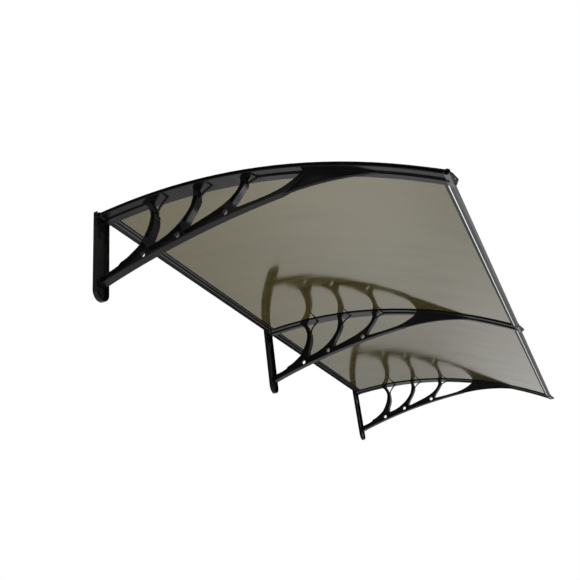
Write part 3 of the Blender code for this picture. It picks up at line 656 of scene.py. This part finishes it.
def screw_tree():
    """A pan head with a cross, a core that ends in a point and a thread wound round it."""
    tree, entry, leave = geometry_tree("screw", (
        ("Head Radius", "Float"), ("Head Height", "Float"), ("Core Radius", "Float"),
        ("Thread Depth", "Float"), ("Thread Pitch", "Float"), ("Length", "Float"),
        ("Point", "Float"), ("Material", "Material")))
    links = tree.links
    given = entry.outputs

    def at_height(x, y, value):
        """A point on the Z axis, at the height given."""
        made = node_in(tree, "ShaderNodeCombineXYZ", x, y)
        links.new(value, made.inputs["Z"])
        return made.outputs[0]

    def turned(y, end, stations, radius):
        """A body turned about Z from the seat of the head, with its radius at each station."""
        line = node_in(tree, "GeometryNodeCurvePrimitiveLine", -300, y)
        links.new(end, line.inputs["End"])
        parted = node_in(tree, "GeometryNodeResampleCurve", -100, y)
        parted.inputs["Count"].default_value = stations
        links.new(line.outputs["Curve"], parted.inputs["Curve"])
        ring = node_in(tree, "GeometryNodeCurvePrimitiveCircle", 100, y - 150,
                       Resolution=RING_POINTS, Radius=1.0)
        body = node_in(tree, "GeometryNodeCurveToMesh", 300, y)
        body.inputs["Fill Caps"].default_value = True
        links.new(parted.outputs["Curve"], body.inputs["Curve"])
        links.new(radius, body.inputs["Scale"])
        links.new(ring.outputs["Curve"], body.inputs["Profile Curve"])
        return body.outputs["Mesh"]

    passed = node_in(tree, "GeometryNodeSplineParameter", -1100, 300).outputs["Factor"]
    dome = worked_out(tree, -900, 300, "MULTIPLY",
                      worked_out(tree, -1000, 300, "MAXIMUM",
                                 worked_out(tree, -1050, 300, "SUBTRACT", passed, HEAD_SIDE),
                                 0.0), DOME_FALL)
    fall = worked_out(tree, -700, 300, "SQRT",
                      worked_out(tree, -800, 300, "MULTIPLY_ADD",
                                 worked_out(tree, -850, 200, "POWER", dome, 2.0), -1.0, 1.0))
    head_top = worked_out(tree, -700, 500, "MULTIPLY", given["Head Height"], -1.0)
    head = turned(500, at_height(-500, 500, head_top), HEAD_STATIONS,
                  worked_out(tree, -500, 300, "MULTIPLY", fall, given["Head Radius"]))
    cut = node_in(tree, "GeometryNodeMeshBoolean", 700, 500, operation="DIFFERENCE")
    links.new(head, cut.inputs["Mesh 1"])
    for turn in (0.0, pi / 2):
        blade = node_in(tree, "GeometryNodeMeshCube", 300, 800 + 100 * turn)
        blade.inputs["Size"].default_value = CROSS_BLADE
        laid = node_in(tree, "GeometryNodeTransform", 500, 800 + 100 * turn)
        laid.inputs["Rotation"].default_value = (0.0, 0.0, turn)
        links.new(blade.outputs["Mesh"], laid.inputs["Geometry"])
        links.new(at_height(400, 900, head_top), laid.inputs["Translation"])
        links.new(laid.outputs["Geometry"], cut.inputs["Mesh 2"])

    left_over = worked_out(tree, -900, 0, "MULTIPLY",
                           worked_out(tree, -1000, 0, "SUBTRACT", 1.0, passed), given["Length"])
    tapered = worked_out(tree, -700, 0, "MINIMUM",
                         worked_out(tree, -750, 0, "MULTIPLY_ADD",
                                    worked_out(tree, -800, 0, "DIVIDE", left_over, given["Point"]),
                                    1.0 - POINT_SHARE, POINT_SHARE), 1.0)
    core = turned(0, at_height(-500, 0, given["Length"]), CORE_STATIONS,
                  worked_out(tree, -500, -150, "MULTIPLY", tapered, given["Core Radius"]))

    wound = worked_out(tree, -700, -400, "SUBTRACT", given["Length"], given["Point"])
    helix = node_in(tree, "GeometryNodeCurveSpiral", -300, -400, Resolution=THREAD_POINTS)
    links.new(worked_out(tree, -500, -400, "DIVIDE", wound, given["Thread Pitch"]),
              helix.inputs["Rotations"])
    links.new(given["Core Radius"], helix.inputs["Start Radius"])
    links.new(given["Core Radius"], helix.inputs["End Radius"])
    links.new(wound, helix.inputs["Height"])
    upright = node_in(tree, "GeometryNodeSetCurveNormal", -100, -400, mode="Z_UP")
    links.new(helix.outputs["Curve"], upright.inputs["Curve"])
    ridge = node_in(tree, "GeometryNodeCurvePrimitiveCircle", -100, -600, Resolution=RIDGE_POINTS)
    links.new(given["Thread Depth"], ridge.inputs["Radius"])
    thread = node_in(tree, "GeometryNodeCurveToMesh", 100, -400)
    thread.inputs["Fill Caps"].default_value = True
    links.new(upright.outputs["Curve"], thread.inputs["Curve"])
    links.new(ridge.outputs["Curve"], thread.inputs["Profile Curve"])

    whole = node_in(tree, "GeometryNodeJoinGeometry", 800, 0)
    for part in (cut.outputs["Mesh"], core, thread.outputs["Mesh"]):
        links.new(part, whole.inputs["Geometry"])
    real = node_in(tree, "GeometryNodeRealizeInstances", 850, 0)
    links.new(whole.outputs["Geometry"], real.inputs["Geometry"])
    look = node_in(tree, "GeometryNodeSetMaterial", 880, 0)
    links.new(real.outputs["Geometry"], look.inputs["Geometry"])
    links.new(given["Material"], look.inputs["Material"])
    links.new(look.outputs["Geometry"], leave.inputs["Geometry"])
    return tree


zinc = grained_material("zinc_plated", ZINC, ZINC_DULL, roughness=0.28, spread=0.14,
                        depth=ZINC_GRAIN_DEPTH, metallic=1.0)[0]
screw = screw_tree()


def driven_screw(node, length, seat, along):
    """A screw with the seat of its head at a point, driven in a direction."""
    mesh = grown_mesh(node, screw, {
        "Head Radius": SCREW_HEAD_RADIUS, "Head Height": SCREW_HEAD_HEIGHT,
        "Core Radius": SCREW_CORE_RADIUS, "Thread Depth": THREAD_DEPTH,
        "Thread Pitch": THREAD_PITCH, "Length": length, "Point": SCREW_POINT, "Material": zinc})
    mesh.transform(Matrix.Translation(seat) @ along.to_track_quat("Z", "Y").to_matrix().to_4x4())
    shade_smoothly(mesh)
    piece = new_piece(f"{node}_threaded", mesh)
    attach(piece, "root")
    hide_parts(node)


for where, side in (("left", -1), ("right", 1)):
    for edge in ("front", "wall"):
        node = f"{edge}_screw_{where}"
        low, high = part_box(node)
        outer = low[0] if side < 0 else high[0]
        driven_screw(node, LONG_SCREW, Vector((outer - side * SCREW_HEAD_HEIGHT,
                                               (low[1] + high[1]) / 2, (low[2] + high[2]) / 2)),
                     Vector((-side, 0.0, 0.0)))
    angle = sheet_angle(SHORT_SCREW_REACH)
    driven_screw(f"sheet_screw_{where}", SHORT_SCREW,
                 Vector((side * SHORT_SCREW_ASIDE, *on_sheet(angle, SHORT_SCREW_SEAT))),
                 Vector((0.0, sin(angle), -cos(angle))))


# Studio: a pale floor far below the canopy, as under a real door, and a white surround with soft
# lamps. The sheets mirror the floor, so it glows in gloss: brightest towards the near end, and
# dimmer in a strip along the wall. For the camera it turns white far off.

FLOOR_HEIGHT = -2.25
FLOOR_HALF = 40.0
FLOOR_GREY = (0.86, 0.86, 0.86)
FLOOR_ROUGHNESS = 0.9
GLOW_ALONG = {"From_Min": -3.0, "From_Max": 13.1, "To_Min": 3.43, "To_Max": 1.00}
GLOW_LINE = 0.6
GLOW_OFF_LINE = {"From_Min": 0.8, "From_Max": 5.45, "To_Min": 0.42, "To_Max": 1.0}
GLOW_MOST = 1.82
FAR_FADE = {"From_Min": 4.0, "From_Max": 14.0}
DARK_SIDE = (-0.85, 0.35, 0.40)
DARK_FADE = {"From_Min": 0.25, "From_Max": 0.75}
# Grey of the painted shade that the surround shows in gloss
GLOSS_PAINTED_SHADE = (0.30, 0.30, 0.30)
SURROUND_WHITE = (1.0, 1.0, 1.0)
FILL_STRENGTH = 0.5

floor_mesh = bpy.data.meshes.new("floor")
floor_mesh.from_pydata([(x * FLOOR_HALF, y * FLOOR_HALF, FLOOR_HEIGHT)
                        for x, y in ((-1, -1), (1, -1), (1, 1), (-1, 1))], [], [(0, 1, 2, 3)])
floor = bpy.data.objects.new("floor", floor_mesh)
bpy.context.scene.collection.objects.link(floor)
pale_floor, tree, shader = new_material("pale_floor")
shader.inputs["Base Color"].default_value = (*FLOOR_GREY, 1.0)
shader.inputs["Roughness"].default_value = FLOOR_ROUGHNESS
paths = node_in(tree, "ShaderNodeLightPath", -400, -700)
white = node_in(tree, "ShaderNodeEmission", 100, -300)
place = node_in(tree, "ShaderNodeTexCoord", -1000, -300)
parts = node_in(tree, "ShaderNodeSeparateXYZ", -800, -300)
tree.links.new(place.outputs["Object"], parts.inputs[0])
along_wall = node_in(tree, "ShaderNodeMapRange", -600, -200, interpolation_type="SMOOTHSTEP",
                     **GLOW_ALONG)
tree.links.new(parts.outputs["X"], along_wall.inputs["Value"])
off_line = node_in(tree, "ShaderNodeMapRange", -600, -400, interpolation_type="SMOOTHSTEP",
                   **GLOW_OFF_LINE)
from_line = worked_out(tree, -700, -500, "ABSOLUTE",
                       worked_out(tree, -800, -500, "SUBTRACT", parts.outputs["Y"], GLOW_LINE))
tree.links.new(from_line, off_line.inputs["Value"])
falloff = worked_out(tree, -400, -300, "MULTIPLY", along_wall.outputs["Result"],
                     off_line.outputs["Result"])
glow = worked_out(tree, -300, -300, "MINIMUM", falloff, GLOW_MOST)
in_gloss = node_in(tree, "ShaderNodeMix", -100, -300, data_type="FLOAT", A=1.0)
tree.links.new(paths.outputs["Is Glossy Ray"], in_gloss.inputs["Factor"])
tree.links.new(glow, in_gloss.inputs["B"])
tree.links.new(in_gloss.outputs["Result"], white.inputs["Strength"])
distance = node_in(tree, "ShaderNodeVectorMath", -800, -800, operation="LENGTH")
tree.links.new(place.outputs["Object"], distance.inputs[0])
far_off = node_in(tree, "ShaderNodeMapRange", -600, -800, interpolation_type="SMOOTHSTEP",
                  **FAR_FADE)
tree.links.new(distance.outputs["Value"], far_off.inputs["Value"])
glowing = worked_out(tree, 0, -600, "MAXIMUM", paths.outputs["Is Glossy Ray"],
                     worked_out(tree, -200, -800, "MULTIPLY", far_off.outputs["Result"],
                                paths.outputs["Is Camera Ray"]))
shown = node_in(tree, "ShaderNodeMixShader", 300, 0)
tree.links.new(glowing, shown.inputs["Fac"])
tree.links.new(shader.outputs["BSDF"], shown.inputs[1])
tree.links.new(white.outputs["Emission"], shown.inputs[2])
tree.links.new(shown.outputs[0], tree.nodes["Material Output"].inputs["Surface"])
floor_mesh.materials.append(pale_floor)

# A darker patch of the surround beyond the near end, seen in gloss alone, is painted shade in the
# reflections
world = bpy.data.worlds.new("studio")
bpy.context.scene.world = world
world.use_nodes = True
tree = world.node_tree
tree.nodes.clear()
seen = node_in(tree, "ShaderNodeBackground", -200, 100, Strength=1.0)
fill = node_in(tree, "ShaderNodeBackground", -200, -100, Color=(*SURROUND_WHITE, 1.0),
               Strength=FILL_STRENGTH)
paths = node_in(tree, "ShaderNodeLightPath", -900, 0)
direction = node_in(tree, "ShaderNodeTexCoord", -1200, 300)
towards = node_in(tree, "ShaderNodeVectorMath", -1000, 300, operation="DOT_PRODUCT")
towards.inputs[1].default_value = DARK_SIDE
tree.links.new(direction.outputs["Generated"], towards.inputs[0])
dark = node_in(tree, "ShaderNodeMapRange", -800, 300, interpolation_type="SMOOTHSTEP",
               **DARK_FADE)
tree.links.new(towards.outputs["Value"], dark.inputs["Value"])
painted_shade_share = worked_out(tree, -600, 300, "MULTIPLY", dark.outputs["Result"],
                      paths.outputs["Is Glossy Ray"])
tree.links.new(two_colours(tree, -400, painted_shade_share, SURROUND_WHITE, GLOSS_PAINTED_SHADE),
               seen.inputs["Color"])
any_of = worked_out(tree, -400, 0, "MAXIMUM",
                    worked_out(tree, -600, 0, "MAXIMUM", paths.outputs["Is Camera Ray"],
                               paths.outputs["Is Glossy Ray"]),
                    paths.outputs["Is Transmission Ray"])
mixed = node_in(tree, "ShaderNodeMixShader", 0, 0)
out = node_in(tree, "ShaderNodeOutputWorld", 200, 0)
tree.links.new(any_of, mixed.inputs["Fac"])
tree.links.new(fill.outputs[0], mixed.inputs[1])
tree.links.new(seen.outputs[0], mixed.inputs[2])
tree.links.new(mixed.outputs[0], out.inputs["Surface"])


def soft_lamp(name, stand, target, size, power):
    """A round soft lamp that stands at a point and faces another."""
    data = bpy.data.lights.new(name, "AREA")
    data.shape = "DISK"
    data.size = size
    data.energy = power
    lamp = bpy.data.objects.new(name, data)
    lamp.location = stand
    lamp.rotation_euler = (Vector(target) - Vector(stand)).to_track_quat("-Z", "Y").to_euler()
    lamp.visible_transmission = False
    bpy.context.scene.collection.objects.link(lamp)


soft_lamp("key", (-2.5, -3.5, 3.0), (0.0, -0.4, 0.0), size=2.5, power=85.0)
soft_lamp("top", (1.5, -1.0, 4.0), (0.0, -0.4, 0.0), size=3.0, power=60.0)
soft_lamp("glint", (1.9, -2.8, -1.1), (-1.0, -0.25, 0.0), size=0.40, power=4.4)


# Camera: low and to the left of the canopy, looking up under it, as in the photograph.

CAMERA_PLACE = (-2.22978, -1.02426, -0.93075)
CAMERA_RIGHT = Vector((0.42608, -0.89693, -0.11826)).normalized()
CAMERA_FORWARD = Vector((0.82923, 0.33492, 0.44745)).normalized()
CAMERA_LENS = 41.70
CAMERA_SENSOR = 36.0

lens = bpy.data.cameras.new("camera")
lens.lens = CAMERA_LENS
lens.sensor_width = CAMERA_SENSOR
lens.sensor_fit = "HORIZONTAL"
camera = bpy.data.objects.new("camera", lens)
up = CAMERA_RIGHT.cross(CAMERA_FORWARD)
turn = Matrix((CAMERA_RIGHT, up, -CAMERA_FORWARD)).transposed()
camera.matrix_world = Matrix.Translation(CAMERA_PLACE) @ turn.to_4x4()
bpy.context.scene.collection.objects.link(camera)
bpy.context.scene.camera = camera
bpy.context.scene.view_settings.view_transform = "Standard"
